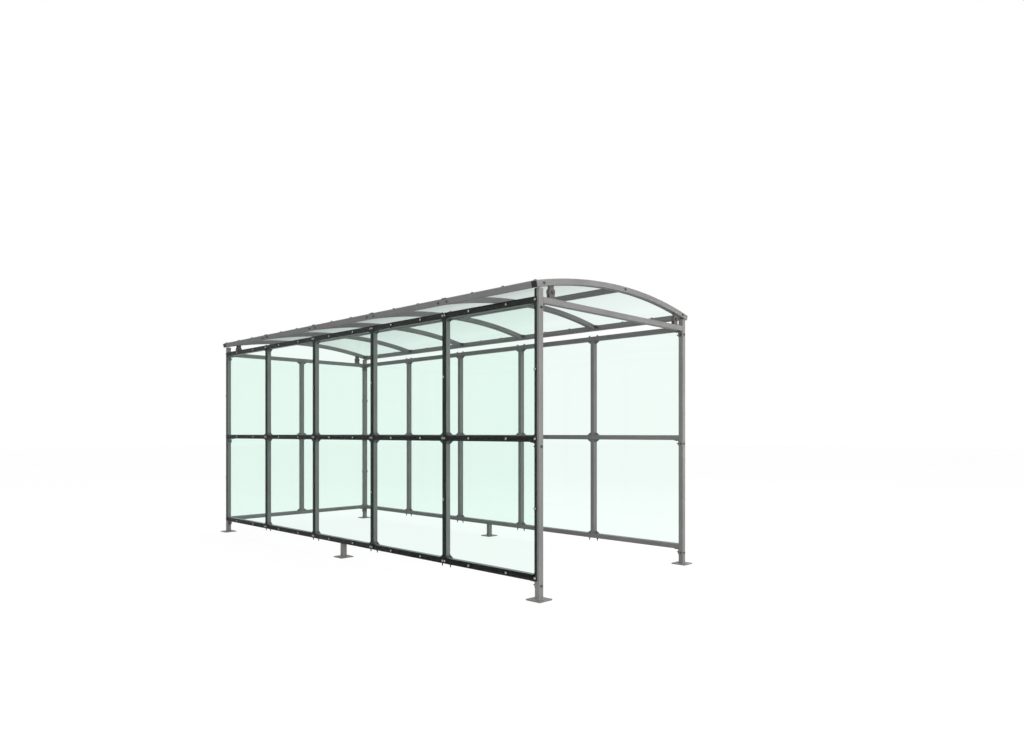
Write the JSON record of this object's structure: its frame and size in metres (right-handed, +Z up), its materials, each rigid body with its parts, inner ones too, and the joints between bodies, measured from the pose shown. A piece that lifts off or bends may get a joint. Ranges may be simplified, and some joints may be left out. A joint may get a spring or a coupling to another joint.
{
  "type": "shopping cart shelter",
  "caption": "Open-fronted cart shelter of square steel tube with bolted glass walls and a shallow arched glass roof on base plates.",
  "frame": {"origin": "centre of the footprint on the ground, under the underside of the base plates", "axes": "+X across the shelter to the right seen from the open front, +Y along the shelter from the open front to the back wall, +Z up"},
  "size_m": [2.108, 5.23, 2.4114],
  "materials": {
    "galvanised_steel": "satin grey zinc coat on drawn square tube",
    "black_rubber": "matte black strip",
    "black_plastic": "matte black moulded cap",
    "clear_glass": "clear toughened glass with a faint green tint",
    "roof_glazing": "clear curved sheet with a grey-green tint"
  },
  "bodies": {
    "root": {"post_front_left": "galvanised_steel", "post_front_right": "galvanised_steel", "post_back_left": "galvanised_steel", "post_back_right": "galvanised_steel", "post_caps": "galvanised_steel", "base_plates_front": "galvanised_steel", "base_plates_middle": "galvanised_steel", "base_plates_back": "galvanised_steel", "middle_feet": "galvanised_steel", "left_bottom_rail": "galvanised_steel", "left_middle_rail": "galvanised_steel", "left_top_rail": "galvanised_steel", "right_bottom_rail": "galvanised_steel", "right_middle_rail": "galvanised_steel", "right_top_rail": "galvanised_steel", "back_bottom_rail": "galvanised_steel", "back_middle_rail": "galvanised_steel", "back_top_rail": "galvanised_steel", "front_header": "galvanised_steel", "left_mullions": "galvanised_steel", "right_mullions": "galvanised_steel", "back_mullions": "galvanised_steel", "left_cleats": "galvanised_steel", "right_cleats": "galvanised_steel", "cross_cleats": "galvanised_steel", "left_gasket": "black_rubber", "right_gasket": "black_rubber", "back_gasket": "black_rubber", "left_panes_lower": "clear_glass", "left_panes_upper": "clear_glass", "right_panes_lower": "clear_glass", "right_panes_upper": "clear_glass", "back_panes_lower": "clear_glass", "back_panes_upper": "clear_glass", "front_rib": "galvanised_steel", "middle_ribs": "galvanised_steel", "back_rib": "galvanised_steel", "rib_end_caps": "black_plastic", "left_eave_beam": "galvanised_steel", "right_eave_beam": "galvanised_steel", "ridge_tube": "galvanised_steel", "roof_cleats": "galvanised_steel", "roof_sheets": "roof_glazing", "roof_brackets_front": "galvanised_steel", "roof_brackets_back": "galvanised_steel"}
  },
  "joints": []
}
